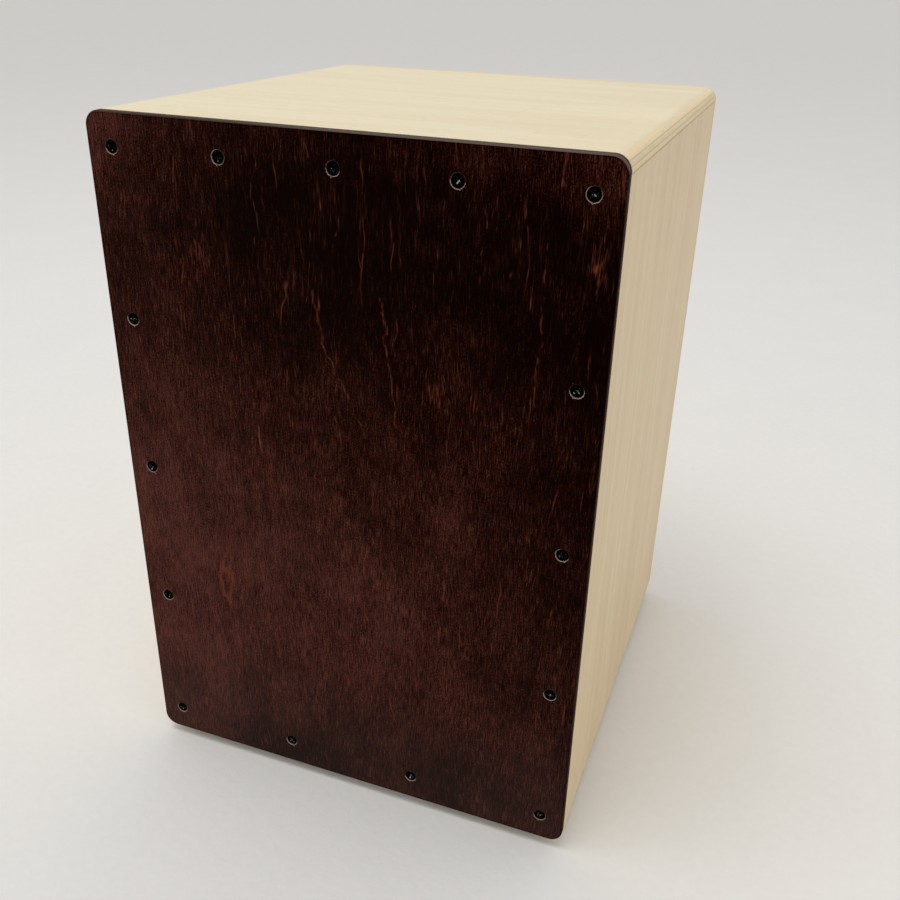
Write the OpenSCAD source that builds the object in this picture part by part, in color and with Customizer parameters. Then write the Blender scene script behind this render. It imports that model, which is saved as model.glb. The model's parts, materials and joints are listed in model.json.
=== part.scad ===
// Cajon: a box drum of birch plywood, built as it is glued and screwed together.
// Millimetres, +Z up. X runs along the front plate, the front plate faces -Y,
// and the origin is on the floor under the middle of the box.

/* [Box] */
// Outside width of the box, from side to side
box_w = 240; // [200:1:320]
// Outside depth of the box, with its front plate and back panel
box_d = 250; // [200:1:340]
// Outside height of the box, without its feet
box_h = 345; // [280:1:480]
// Thickness of the top, bottom and side panels
panel_t = 7.5; // [6:0.5:12]
// Rounding of the four long edges and of the plate's corners
edge_r = 7; // [3:0.5:12]

/* [Front plate] */
// Thickness of the playing plate
plate_t = 4; // [2.5:0.1:6]
// Rounding of the plate's front rim
plate_rim_r = 1.2; // [0.4:0.1:2]
// Number of screws across the top of the plate
top_screws = 5; // [2:1:8]
// Number of screws across the bottom of the plate
bottom_screws = 4; // [2:1:8]
// Number of screws down each side, between the corner ones
side_screws = 3; // [1:1:6]
// Distance of the side screws from the inner face of the side panel
side_screw_in = 5; // [3.5:0.5:8]

/* [Plate screws] */
// Diameter of the screw head
head_d = 6; // [5:0.1:7]
// Height of the straight rim of the screw head
head_rim = 0.3; // [0.1:0.1:0.5]
// Diameter of the countersink at the face of the plate
countersink_d = 7.2; // [6:0.1:8.5]
// Diameter of the screw shank
shank_d = 3; // [2.5:0.1:3.5]
// Length of the whole screw
screw_len = 16; // [12:1:22]
// Length of the screw's point
tip_len = 4; // [2:0.5:6]
// Width of the slots of the cross recess
recess_slot = 0.9; // [0.5:0.1:1.2]
// Length of the slots of the cross recess
recess_len = 3.4; // [2:0.1:4]
// Depth of the cross recess
recess_deep = 1.4; // [0.6:0.1:2]

/* [Strips inside] */
// Width of the strips that frame the front and the back
batten_w = 15; // [12:0.5:20]
// Depth of the strips that frame the front and the back
batten_d = 15; // [12:0.5:20]
// Side of the strips glued into the four long corners
strip_w = 12; // [8:0.5:15]
// Flat left on each strip beside its bevel
strip_flat = 4; // [2:0.5:7]

/* [Back] */
// Thickness of the back panel
back_t = 4; // [3:0.1:6]
// Diameter of the sound hole
hole_d = 90; // [60:1:110]
// Distance of the middle of the sound hole from the top of the box
hole_from_top = 130; // [100:1:160]

/* [Snares] */
// Distance of the middle of the snare bar from the top of the box
bar_from_top = 135; // [110:1:180]
// Height of the snare bar
bar_h = 20; // [16:1:26]
// How far each cleat laps behind the bar
cleat_lap = 14; // [10:1:20]
// Depth of the cleats that hold the bar, glued behind it and the side strips
cleat_d = 12; // [8:1:16]
// Distance of the middle of each snare set from the middle of the box
snare_out = 46; // [42:1:52]
// Number of wires in each snare set
wire_count = 10; // [4:1:12]
// Distance between neighbouring wires
wire_pitch = 4.8; // [3:0.1:5.4]
// Diameter of a snare wire
wire_d = 1.6; // [1:0.1:2.4]
// How far the wires stop short of the top strip
wire_short = 8; // [3:1:20]
// Thickness of the clip plates
clip_t = 1; // [0.6:0.1:1.5]
// Height of the clip plates
clip_h = 16; // [13:1:20]
// How much of the wires lies on the clip plate
wire_on_clip = 6; // [4:0.5:8]
// How far a clip plate reaches past its outer wires
clip_margin = 2; // [1:0.5:4]

/* [Small screws] */
// Diameter of the heads of the snare screws
small_head_d = 5.6; // [4.5:0.1:6.5]
// Height of the heads of the snare screws
small_head_h = 1.2; // [0.8:0.1:1.4]
// Diameter of the shanks of the snare screws
small_shank_d = 2.5; // [2:0.1:3]
// Length of the shanks of the clip screws
clip_screw_len = 10; // [7:1:11]
// Length of the shanks of the screws that hold the snare bar
bar_screw_len = 20; // [17:1:22]

/* [Feet] */
// Diameter of a foot where it meets the box
foot_d = 22; // [18:1:28]
// Height of a foot
foot_h = 5; // [5:0.5:8]
// How much a foot narrows towards the floor, on each side
foot_taper = 1; // [0.5:0.1:2]
// Distance of the foot's middle from the sides, the front and the back of the box
foot_in = 30; // [26:1:50]
// Outer diameter of the washer in a foot
washer_d = 9.6; // [9:0.1:12]
// Thickness of the washer in a foot
washer_t = 0.8; // [0.5:0.1:1]
// Diameter of the head of a foot screw
foot_head_d = 7; // [6:0.1:8]
// Height of the head of a foot screw
foot_head_h = 1.6; // [1.2:0.1:1.8]
// Diameter of the shank of a foot screw
foot_shank_d = 3.5; // [3:0.1:4]
// Length of the shank of a foot screw
foot_screw_len = 9; // [7:0.5:10]
// How far the head of a foot screw stays off the floor
head_off_floor = 0.6; // [0.4:0.1:1]

/* [Hidden] */

// Clearances
screw_gap = 0.1;      // around every screw in its hole
pilot_extra = 0.5;    // by which a blind hole is deeper than its screw
rattle_gap = 0.3;     // between the snare wires and the plate
solder_gap = 0.1;     // between the snare wires and their clip
over = 1;             // by which a cutter reaches past what it cuts
arc_fn = 96;          // facets on the large round shapes
bore_fn = 32;         // facets on the small round shapes

// Colours, as the photograph shows them
BIRCH = "#e6d6b2";
BIRCH_SIDE = "#cdbb94";
STAIN = "#3b1713";
PINE = "#d9bd8a";
BLACK_STEEL = "#17181a";
BRIGHT_STEEL = "#b9bcc0";
RUBBER = "#1d1d1e";

// The shell lies between the front plate and the back panel
shell_front = -box_d / 2 + plate_t;
shell_back = box_d / 2 - back_t;
shell_d = shell_back - shell_front;
inner_w = box_w - 2 * panel_t;
inner_h = box_h - 2 * panel_t;
strip_front = shell_front + batten_d;
strip_len = shell_d - 2 * batten_d;

// Plate screws sit over the middle of the end strips and side_screw_in from the side panels
screw_x = inner_w / 2 - side_screw_in;
screw_low = panel_t + batten_w / 2;
screw_high = box_h - screw_low;
screw_points = concat(
    [for (i = [0 : top_screws - 1]) [screw_x * (2 * i / (top_screws - 1) - 1), screw_high]],
    [for (i = [0 : bottom_screws - 1]) [screw_x * (2 * i / (bottom_screws - 1) - 1), screw_low]],
    [for (side = [-1, 1], i = [1 : side_screws])
        [side * screw_x, screw_low + (screw_high - screw_low) * i / (side_screws + 1)]]
);
head_cone = (head_d - shank_d) / 2;
head_sink = (countersink_d - head_d) / 2 - head_rim - screw_gap;
pilot_d = shank_d + 2 * screw_gap;

// The snares lie between the plate and the bar, whose back is flush with the front strips
snare_recess = rattle_gap + wire_d + solder_gap + clip_t;
bar_front = shell_front + snare_recess;
bar_back = strip_front;
bar_w = inner_w - 2 * batten_w;
bar_z = box_h - bar_from_top;
cleat_w = batten_w + cleat_lap;
bar_screw_x = bar_w / 2 - cleat_lap / 2;
clip_low = bar_z - clip_h / 2;
clip_high = clip_low + clip_h;
clip_w = (wire_count - 1) * wire_pitch + wire_d + 2 * clip_margin;
clip_front = bar_front - clip_t;
clip_screw_z = clip_low + (clip_h - wire_on_clip) / 2;
clip_screw_x = clip_w / 4;
wire_low = clip_high - wire_on_clip;
wire_high = box_h - panel_t - batten_w - wire_short;
wire_y = shell_front + rattle_gap + wire_d / 2;

// Each foot has a recess that hides its washer and screw head
foot_recess = washer_t + foot_head_h + head_off_floor;
foot_web = foot_h - foot_recess;
foot_screw_up = foot_screw_len - washer_t - foot_web;
foot_hole_d = foot_shank_d + 2 * screw_gap;
foot_points = [for (side = [-1, 1], end = [-1, 1])
    [side * (box_w / 2 - foot_in), end * (box_d / 2 - foot_in)]];

// Stands a shape drawn flat, x right and y up, on the feet with its z = 0 plane at y_at,
// so that what it has along +z points to the front
module upright(y_at) {
    translate([0, y_at, foot_h]) rotate([90, 0, 0]) children();
}

// A slab with the outline of the box, round corners included
module box_slab(thick) {
    linear_extrude(thick) {
        translate([-box_w / 2 + edge_r, 0]) square([box_w - 2 * edge_r, box_h]);
        translate([-box_w / 2, edge_r]) square([box_w, box_h - 2 * edge_r]);
        for (x = [-1, 1], y = [edge_r, box_h - edge_r])
            translate([x * (box_w / 2 - edge_r), y]) circle(edge_r, $fn = arc_fn);
    }
}

// One panel of the shell: the part of the rounded box in a plain block, x right and y up
module shell_panel(low, size) {
    upright(shell_back) intersection() {
        box_slab(shell_d);
        translate([low[0], low[1], -over]) cube([size[0], size[1], shell_d + 2 * over]);
    }
}

// What rounding takes off a square edge: the corner outside a circle
module rim_profile() {
    difference() {
        square(plate_rim_r + over);
        circle(plate_rim_r, $fn = bore_fn);
    }
}

// What rounding takes off the plate's front rim, for a plate whose face is at z = plate_t
module rim_cut() {
    reach_x = box_w / 2 - edge_r;
    reach_y = box_h / 2 - edge_r;
    translate([0, box_h / 2, plate_t - plate_rim_r]) for (mx = [0, 1], my = [0, 1])
        mirror([mx, 0, 0]) mirror([0, my, 0]) {
            translate([box_w / 2 - plate_rim_r, reach_y, 0])
                rotate([90, 0, 0]) linear_extrude(reach_y) rim_profile();
            translate([0, box_h / 2 - plate_rim_r, 0])
                rotate([90, 0, 90]) linear_extrude(reach_x) rim_profile();
            translate([reach_x, reach_y, 0]) rotate_extrude(angle = 90, $fn = arc_fn)
                translate([edge_r - plate_rim_r, 0]) rim_profile();
        }
}

// Puts children at every plate screw, with z = 0 at the back of the plate
module at_plate_screws() {
    upright(shell_front) for (p = screw_points) translate(p) children();
}

// The holes that the plate screws need in the wood behind the plate
module plate_pilots() {
    deep = screw_len + head_sink - plate_t + pilot_extra;
    at_plate_screws() translate([0, 0, -deep]) cylinder(h = deep + over, d = pilot_d, $fn = bore_fn);
}

// The plate's own holes: countersunk at the face, then straight through
module plate_holes() {
    cone = (countersink_d - pilot_d) / 2;
    for (p = screw_points) translate(p) {
        translate([0, 0, -over]) cylinder(h = plate_t + 2 * over, d = pilot_d, $fn = bore_fn);
        translate([0, 0, plate_t - cone])
            cylinder(h = cone + over, d1 = pilot_d, d2 = countersink_d + 2 * over, $fn = bore_fn);
    }
}

// A countersunk wood screw, its head's flat top at z = 0 and its point below
module countersunk_screw() {
    difference() {
        union() {
            translate([0, 0, -head_rim]) cylinder(h = head_rim, d = head_d, $fn = bore_fn);
            translate([0, 0, -head_rim - head_cone])
                cylinder(h = head_cone, d1 = shank_d, d2 = head_d, $fn = bore_fn);
            translate([0, 0, tip_len - screw_len])
                cylinder(h = screw_len - tip_len - head_rim, d = shank_d, $fn = bore_fn);
            translate([0, 0, -screw_len])
                cylinder(h = tip_len, d1 = shank_d / 6, d2 = shank_d, $fn = bore_fn);
        }
        for (turn = [0, 90]) rotate(turn)
            translate([-recess_len / 2, -recess_slot / 2, -recess_deep])
                cube([recess_len, recess_slot, recess_deep + over]);
    }
}

// A flat-headed screw, its head on z = 0 and its shank going down
module flat_screw(head_dia, head_high, dia, len) {
    difference() {
        union() {
            cylinder(h = head_high, d = head_dia, $fn = bore_fn);
            translate([0, 0, -len]) cylinder(h = len + head_high / 2, d = dia, $fn = bore_fn);
        }
        for (turn = [0, 90]) rotate(turn)
            translate([-head_dia / 4, -recess_slot / 2, head_high / 2])
                cube([head_dia / 2, recess_slot, head_high]);
    }
}

// A strip of the front or back frame, from its lowest x and z and its size
module batten(x_low, z_low, w, h, y_low) {
    color(PINE) difference() {
        translate([x_low, y_low, foot_h + z_low]) cube([w, batten_d, h]);
        plate_pilots();
    }
}
module batten_across(z_low, y_low) {
    batten(-inner_w / 2, z_low, inner_w, batten_w, y_low);
}
module batten_upright(side, y_low) {
    x_low = side < 0 ? -inner_w / 2 : inner_w / 2 - batten_w;
    batten(x_low, panel_t + batten_w, batten_w, inner_h - 2 * batten_w, y_low);
}

// A bevelled strip in one long corner: side is -1 or 1, end is -1 low or 1 high
module corner_strip(side, end) {
    color(PINE) difference() {
        translate([side * inner_w / 2, strip_front + strip_len, foot_h + box_h / 2 + end * inner_h / 2])
            rotate([90, 0, 0]) linear_extrude(strip_len) polygon([
                [0, 0], [-side * strip_w, 0], [-side * strip_w, -end * strip_flat],
                [-side * strip_flat, -end * strip_w], [0, -end * strip_w]
            ]);
        plate_pilots();
    }
}

// Snare pieces are drawn for one side and mirrored for the other
module on_side(side) {
    mirror([side < 0 ? 1 : 0, 0, 0]) children();
}
module bar_screw_holes() {
    for (side = [-1, 1])
        translate([side * bar_screw_x, bar_back + cleat_d + over, foot_h + bar_z]) rotate([90, 0, 0])
            cylinder(h = bar_screw_len + pilot_extra + over, d = small_shank_d + 2 * screw_gap, $fn = bore_fn);
}
module clip_screw_holes() {
    for (side = [-1, 1], x = [-clip_screw_x, clip_screw_x])
        translate([side * snare_out + x, clip_front - over, foot_h + clip_screw_z]) rotate([-90, 0, 0])
            cylinder(h = over + clip_screw_len + pilot_extra, d = small_shank_d + 2 * screw_gap, $fn = bore_fn);
}
module snare_cleat(side) {
    color(PINE) difference() {
        on_side(side) translate([inner_w / 2 - cleat_w, bar_back, foot_h + bar_z - bar_h / 2])
            cube([cleat_w, cleat_d, bar_h]);
        bar_screw_holes();
    }
}
module snare_clip(side) {
    color(BRIGHT_STEEL) difference() {
        on_side(side) translate([snare_out - clip_w / 2, clip_front, foot_h + clip_low])
            cube([clip_w, clip_t, clip_h]);
        clip_screw_holes();
    }
}
module snare_wires(side) {
    color(BRIGHT_STEEL) on_side(side) for (i = [0 : wire_count - 1])
        translate([snare_out + (i - (wire_count - 1) / 2) * wire_pitch, wire_y, foot_h + wire_low])
            cylinder(h = wire_high - wire_low, d = wire_d, $fn = bore_fn);
}

// One rubber foot, turned: hole, recess and a side that narrows to the floor
module foot(side, end) {
    color(RUBBER) translate([side * (box_w / 2 - foot_in), end * (box_d / 2 - foot_in), 0])
        rotate_extrude($fn = arc_fn) polygon([
            [foot_hole_d / 2, foot_recess], [foot_hole_d / 2, foot_h], [foot_d / 2, foot_h],
            [foot_d / 2 - foot_taper, 0], [washer_d / 2 + screw_gap, 0],
            [washer_d / 2 + screw_gap, foot_recess]
        ]);
}

// The panels of the shell
module top_panel() {
    color(BIRCH) shell_panel([-box_w / 2, box_h - panel_t], [box_w, panel_t]);
}
module bottom_panel() {
    color(BIRCH) difference() {
        shell_panel([-box_w / 2, 0], [box_w, panel_t]);
        for (p = foot_points) translate([p[0], p[1], foot_h - over])
            cylinder(h = over + foot_screw_up + pilot_extra, d = foot_hole_d, $fn = bore_fn);
    }
}
module left_side_panel() {
    color(BIRCH_SIDE) shell_panel([-box_w / 2, panel_t], [panel_t, inner_h]);
}
module right_side_panel() {
    color(BIRCH_SIDE) shell_panel([box_w / 2 - panel_t, panel_t], [panel_t, inner_h]);
}
module back_panel() {
    color(BIRCH) upright(box_d / 2) difference() {
        box_slab(back_t);
        translate([0, box_h - hole_from_top, -over])
            cylinder(h = back_t + 2 * over, d = hole_d, $fn = arc_fn);
    }
}
module front_plate() {
    color(STAIN) upright(shell_front) difference() {
        box_slab(plate_t);
        rim_cut();
        plate_holes();
    }
}
module front_plate_screws() {
    color(BLACK_STEEL) at_plate_screws() translate([0, 0, plate_t - head_sink]) countersunk_screw();
}

// The strips that frame the front and the back, and those in the long corners
module front_top_batten() { batten_across(box_h - panel_t - batten_w, shell_front); }
module front_bottom_batten() { batten_across(panel_t, shell_front); }
module front_left_batten() { batten_upright(-1, shell_front); }
module front_right_batten() { batten_upright(1, shell_front); }
module back_top_batten() { batten_across(box_h - panel_t - batten_w, shell_back - batten_d); }
module back_bottom_batten() { batten_across(panel_t, shell_back - batten_d); }
module back_left_batten() { batten_upright(-1, shell_back - batten_d); }
module back_right_batten() { batten_upright(1, shell_back - batten_d); }
module top_left_corner_strip() { corner_strip(-1, 1); }
module top_right_corner_strip() { corner_strip(1, 1); }
module bottom_left_corner_strip() { corner_strip(-1, -1); }
module bottom_right_corner_strip() { corner_strip(1, -1); }

// The snare bar and what it carries
module snare_bar() {
    color(PINE) difference() {
        translate([-bar_w / 2, bar_front, foot_h + bar_z - bar_h / 2]) cube([bar_w, bar_back - bar_front, bar_h]);
        bar_screw_holes();
        clip_screw_holes();
    }
}
module left_snare_cleat() { snare_cleat(-1); }
module right_snare_cleat() { snare_cleat(1); }
module snare_bar_screws() {
    color(BLACK_STEEL) for (side = [-1, 1])
        translate([side * bar_screw_x, bar_back + cleat_d, foot_h + bar_z]) rotate([-90, 0, 0])
            flat_screw(small_head_d, small_head_h, small_shank_d, bar_screw_len);
}
module left_snare_clip() { snare_clip(-1); }
module right_snare_clip() { snare_clip(1); }
module left_snare_wires() { snare_wires(-1); }
module right_snare_wires() { snare_wires(1); }
module snare_clip_screws() {
    color(BLACK_STEEL) for (side = [-1, 1], x = [-clip_screw_x, clip_screw_x])
        translate([side * snare_out + x, clip_front, foot_h + clip_screw_z]) rotate([90, 0, 0])
            flat_screw(small_head_d, small_head_h, small_shank_d, clip_screw_len);
}

// The feet, with the washer and the screw in each
module front_left_foot() { foot(-1, -1); }
module front_right_foot() { foot(1, -1); }
module back_left_foot() { foot(-1, 1); }
module back_right_foot() { foot(1, 1); }
module foot_washers() {
    color(BRIGHT_STEEL) for (p = foot_points) translate([p[0], p[1], foot_recess - washer_t])
        difference() {
            cylinder(h = washer_t, d = washer_d, $fn = bore_fn);
            translate([0, 0, -over]) cylinder(h = washer_t + 2 * over, d = foot_hole_d, $fn = bore_fn);
        }
}
module foot_screws() {
    color(BLACK_STEEL) for (p = foot_points) translate([p[0], p[1], foot_recess - washer_t])
        mirror([0, 0, 1]) flat_screw(foot_head_d, foot_head_h, foot_shank_d, foot_screw_len);
}

top_panel();
bottom_panel();
left_side_panel();
right_side_panel();
back_panel();
front_plate();
front_plate_screws();
front_top_batten();
front_bottom_batten();
front_left_batten();
front_right_batten();
back_top_batten();
back_bottom_batten();
back_left_batten();
back_right_batten();
top_left_corner_strip();
top_right_corner_strip();
bottom_left_corner_strip();
bottom_right_corner_strip();
snare_bar();
left_snare_cleat();
right_snare_cleat();
snare_bar_screws();
left_snare_clip();
right_snare_clip();
left_snare_wires();
right_snare_wires();
snare_clip_screws();
front_left_foot();
front_right_foot();
back_left_foot();
back_right_foot();
foot_washers();
foot_screws();
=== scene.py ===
"""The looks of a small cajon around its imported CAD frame, laid out as a Blender add-on.

Sizes and places are metres in the CAD frame. The patterns in the materials are drawn in millimetres
on each panel: x runs along the grain of its outer veneer, y across it and z into the panel.
"""

import json
import math
import random
from collections import namedtuple
from functools import partialmethod

import bmesh
import bpy
from bmesh.types import BMEdge, BMFace, BMVert
from bpy.props import FloatProperty, FloatVectorProperty, IntProperty, PointerProperty
from mathutils import Matrix, Vector
from mathutils.bvhtree import BVHTree

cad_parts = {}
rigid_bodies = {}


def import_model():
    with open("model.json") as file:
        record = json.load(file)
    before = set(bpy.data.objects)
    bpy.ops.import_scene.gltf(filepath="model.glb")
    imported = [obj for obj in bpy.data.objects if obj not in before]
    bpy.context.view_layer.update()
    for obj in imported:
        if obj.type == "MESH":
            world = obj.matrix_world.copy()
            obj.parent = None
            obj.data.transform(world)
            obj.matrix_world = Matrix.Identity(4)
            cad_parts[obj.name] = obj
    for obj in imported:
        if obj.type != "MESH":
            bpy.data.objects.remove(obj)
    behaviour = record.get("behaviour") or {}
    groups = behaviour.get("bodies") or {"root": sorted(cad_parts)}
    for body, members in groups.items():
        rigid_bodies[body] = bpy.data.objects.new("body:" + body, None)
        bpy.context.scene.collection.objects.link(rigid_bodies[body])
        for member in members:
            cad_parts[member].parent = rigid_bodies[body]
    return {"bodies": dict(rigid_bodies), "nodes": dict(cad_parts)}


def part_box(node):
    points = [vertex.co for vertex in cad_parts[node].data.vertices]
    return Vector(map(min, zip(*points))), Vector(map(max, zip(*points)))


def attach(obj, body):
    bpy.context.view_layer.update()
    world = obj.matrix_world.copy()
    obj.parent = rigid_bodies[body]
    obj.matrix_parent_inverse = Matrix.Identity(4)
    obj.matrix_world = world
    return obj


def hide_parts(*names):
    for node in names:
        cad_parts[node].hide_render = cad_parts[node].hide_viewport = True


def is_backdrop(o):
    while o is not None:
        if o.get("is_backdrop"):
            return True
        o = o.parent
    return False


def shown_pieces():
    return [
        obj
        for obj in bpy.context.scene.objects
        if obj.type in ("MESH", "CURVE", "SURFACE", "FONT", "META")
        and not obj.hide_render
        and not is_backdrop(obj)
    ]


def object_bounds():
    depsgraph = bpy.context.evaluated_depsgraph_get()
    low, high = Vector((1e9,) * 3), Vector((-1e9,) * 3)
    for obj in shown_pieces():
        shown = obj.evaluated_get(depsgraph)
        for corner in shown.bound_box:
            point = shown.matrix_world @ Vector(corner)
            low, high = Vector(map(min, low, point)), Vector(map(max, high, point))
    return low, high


bl_info = {
    "name": "Cajon looks",
    "version": (1, 0, 0),
    "blender": (4, 5, 0),
    "location": "3D View > Sidebar > Cajon",
    "description": "Dresses the CAD model of a small cajon with finished pieces and materials",
    "category": "Object",
}

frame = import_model()
CAD_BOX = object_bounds()
NODES = frame["nodes"]
BODY = next(iter(frame["bodies"]))

# Image points, in pixels of the photograph's frame.
PHOTO_W = 900
PHOTO_H = 900
PHOTO_LONG = max(PHOTO_W, PHOTO_H)
EDGE_POINTS = {"left": 88, "right": 716, "top": 65, "bottom": 839}
SCREW_POINTS = {
    "top_left_screw": (115, 147),
    "top_middle_screw": (335, 168),
    "top_right_screw": (597, 195),
    "left_middle_screw": (153, 464),
    "right_middle_screw": (565, 554),
    "bottom_left_screw": (180, 707),
    "bottom_right_screw": (541, 816),
}
MARK_POINTS = {
    "long_knot": (227, 583),
    "wide_flame": (199, 253),
    "tall_flame": (260, 440),
    "middle_flame": (438, 394),
    "right_flame": (600, 268),
    "corner_flame": (566, 166),
}
LINE_POINTS = {
    "bent_line": (324, 347),
    "long_line": (389, 366),
}

MM = 0.001
IN_MM = (1 / MM,) * 3

# How near two places lie that touch, and how near a flat face its vertices lie.
TOUCHING = 0.001 * MM
FLUSH = 0.01 * MM

X_AXIS, Y_AXIS, Z_AXIS = (Vector(axis) for axis in ((1, 0, 0), (0, 1, 0), (0, 0, 1)))

# The materials of the front plate and of a screw, by their place in the piece's list.
FACE_LOOK, RAW_LOOK, RIM_LOOK, INNER_LOOK = range(4)
CROSS_LOOK = 1


def screen(red, green, blue):
    """A colour given as a screen shows it, 0 to 255, as the linear values that Blender keeps."""
    shares = [value / 255 for value in (red, green, blue)]
    return [s / 12.92 if s <= 0.04045 else ((s + 0.055) / 1.055) ** 2.4 for s in shares]


# ---------------------------------------------------------------- settings


def colour(name, description, *shown):
    """A colour property whose default is what a screen shows."""
    return FloatVectorProperty(name=name, description=description, default=screen(*shown),
                               subtype="COLOR", size=3, min=0, max=1)


def number(name, description, default, **choices):
    """A number property."""
    return FloatProperty(name=name, description=description, default=default, **choices)


def metres(name, description, default):
    """A length property in metres."""
    return number(name, description, default, min=0, unit="LENGTH", precision=5)


def coordinates(name, description, default):
    """A place property in metres."""
    return FloatVectorProperty(name=name, description=description, default=default, size=3,
                               subtype="TRANSLATION", unit="LENGTH")


class CajonCamera(bpy.types.PropertyGroup):
    """Where the camera stands and what it looks at."""
    location: coordinates("Location", "Where the camera stands", (0.1845, -0.4848, 0.4103))
    aim: coordinates("Aim", "The point in the middle of the view", (0.0535, -0.125, 0.2189))
    roll: number("Roll", "Turn about the line of sight, right side up", math.radians(1.51), subtype="ANGLE")
    lens: number("Lens", "Focal length in millimetres", 39.0, min=1)
    sensor: number("Sensor", "Sensor width in millimetres", 36.0, min=1)
    shift_x: number("Shift X", "Sideways lens shift", 0.0)
    shift_y: number("Shift Y", "Upward lens shift", 0.0)


class CajonBirch(bpy.types.PropertyGroup):
    """The unstained birch plywood of the box."""
    top: colour("Top veneer", "Outer veneer of the top and bottom", 235, 221, 186)
    side: colour("Side veneer", "Outer veneer of the sides and back", 231, 209, 169)
    cross: colour("Cross plies", "Plies whose grain runs across the outer veneer", 240, 218, 174)
    glue: colour("Glue line", "Thin dark line between two plies", 156, 130, 92)
    figure: number("Figure", "Strength of the bands in the veneer of the sides", 0.14, min=0, max=1)
    face_ply: metres("Face ply", "Thickness of the two outer veneers of a panel", 0.0006)
    plies: IntProperty(name="Plies", description="Plies in a box panel", default=5, min=3, max=13)
    sheet_plies: IntProperty(name="Sheet plies", description="Plies in the thin front and back sheets",
                             default=3, min=3, max=9)
    edge_break: metres("Edge break", "Width of the sanded break on each sharp edge", 0.00045)


class CajonStain(bpy.types.PropertyGroup):
    """The dark stain on the front plate."""
    deep: colour("Deep", "Where the stain lies thickest", 6, 1, 0)
    dark: colour("Dark", "Dark stain", 35, 9, 3)
    middle: colour("Middle", "Middling stain", 60, 29, 24)
    pale: colour("Pale", "Where the stain lies thinnest", 96, 53, 44)
    flame: colour("Flame", "Figure that took less stain", 114, 57, 39)
    # Painted reflection: a grey veil low on the plate, where it mirrors the pale floor.
    dust: colour("Dust", "Fine dust low on the plate", 84, 74, 68)
    raw: colour("Raw wood", "Bare wood in the screw holes", 172, 148, 134)
    # Painted reflection and painted shade laid into the stain's tone: the base paleness, the dark cloud at
    # the top, and the darkening to the right and along the right edge.
    thinnest: number("Thinnest", "Paleness of the stain at the bottom", 0.595)
    cloud: number("Cloud", "How much darker the stain is in the top's dark cloud", 0.65)
    right: number("Right side", "How much darker it gets to the right", 0.13)
    right_edge: number("Right edge", "How much darker it is along the right edge", 0.28)
    edge: colour("Edge", "Stained edge of the plate", 37, 21, 15)
    # Painted highlight: the upper edge takes these paler colours where it faces up to the light, and a still
    # paler line along its front.
    rubbed: colour("Rubbed edge", "Upper edge of the plate, rubbed paler", 74, 56, 50)
    worn: colour("Worn line", "Line along the front of the upper edge, worn palest", 101, 87, 81)
    rim: metres("Rim", "Radius of the plate's rounded rim", 0.0007)


class CajonScrews(bpy.types.PropertyGroup):
    """The black screws."""
    black: colour("Black", "Blackened steel", 4, 4, 4)
    # Bare steel for the recess walls that face up, so that they glint: wear, and a painted glint where the
    # light falls.
    worn: colour("Worn", "Steel rubbed bare in the cross by the driver", 168, 169, 165)
    slot_length: metres("Slot length", "Length of the cross in a screw head", 0.0036)
    slot_width: metres("Slot width", "Width of each slot of the cross", 0.00095)
    slot_depth: metres("Slot depth", "Depth of the cross", 0.001)
    thread_pitch: metres("Thread pitch", "Distance between two turns of a thread", 0.0013)
    torn: metres("Torn rim", "How far the wood is torn round a screw hole", 0.00016)


class CajonSnares(bpy.types.PropertyGroup):
    """The snare wires and their clips."""
    steel: colour("Steel", "Bright snare steel", 196, 195, 190)
    zinc: colour("Zinc", "Zinc plate on washers", 186, 188, 190)
    wire: metres("Wire", "Thickness of the wire that is wound into a coil", 0.0004)
    pitch: metres("Pitch", "Distance between two turns of a coil", 0.0012)


class CajonFeet(bpy.types.PropertyGroup):
    """The rubber feet."""
    rubber: colour("Rubber", "Black rubber", 34, 34, 35)
    rounding: metres("Rounding", "Rounding of a foot's edges", 0.0006)


class CajonStage(bpy.types.PropertyGroup):
    """The floor and the light."""
    floor: colour("Floor", "Pale floor", 240, 238, 234)
    size: metres("Floor size", "Side of the floor", 60.0)
    sky: number("Sky", "Strength of the even light from all round", 0.70, min=0)
    key: number("Key", "Power of the overhead light in watts", 15.0, min=0)
    key_size: metres("Key size", "Side of the overhead light", 1.2)
    key_at: coordinates("Key place", "Where the overhead light hangs", (-0.35, -0.45, 2.3))


class CajonSettings(bpy.types.PropertyGroup):
    """All the sizes and colours of the cajon."""
    camera: PointerProperty(type=CajonCamera)
    birch: PointerProperty(type=CajonBirch)
    stain: PointerProperty(type=CajonStain)
    screws: PointerProperty(type=CajonScrews)
    snares: PointerProperty(type=CajonSnares)
    feet: PointerProperty(type=CajonFeet)
    stage: PointerProperty(type=CajonStage)


def settings():
    """The cajon's settings in the scene."""
    return bpy.context.scene.cajon


# ---------------------------------------------------------------- camera and image points


def camera_matrix():
    """The camera's place and axes, worked out from its aim and its roll."""
    chosen = settings().camera
    place = Vector(chosen.location)
    ahead = (Vector(chosen.aim) - place).normalized()
    level = ahead.cross(Z_AXIS).normalized()
    upright = level.cross(ahead)
    right = level * math.cos(chosen.roll) + upright * math.sin(chosen.roll)
    matrix = Matrix((right, right.cross(ahead), -ahead)).transposed().to_4x4()
    matrix.translation = place
    return matrix


def ray_through(x, y):
    """The camera's place and the direction of the ray through an image point."""
    chosen = settings().camera
    matrix = camera_matrix()
    along = Vector((x - PHOTO_W / 2 + chosen.shift_x * PHOTO_LONG,
                    PHOTO_H / 2 - y + chosen.shift_y * PHOTO_LONG,
                    -PHOTO_LONG * chosen.lens / chosen.sensor))
    return matrix.translation.copy(), (matrix.to_3x3() @ along).normalized()


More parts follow.
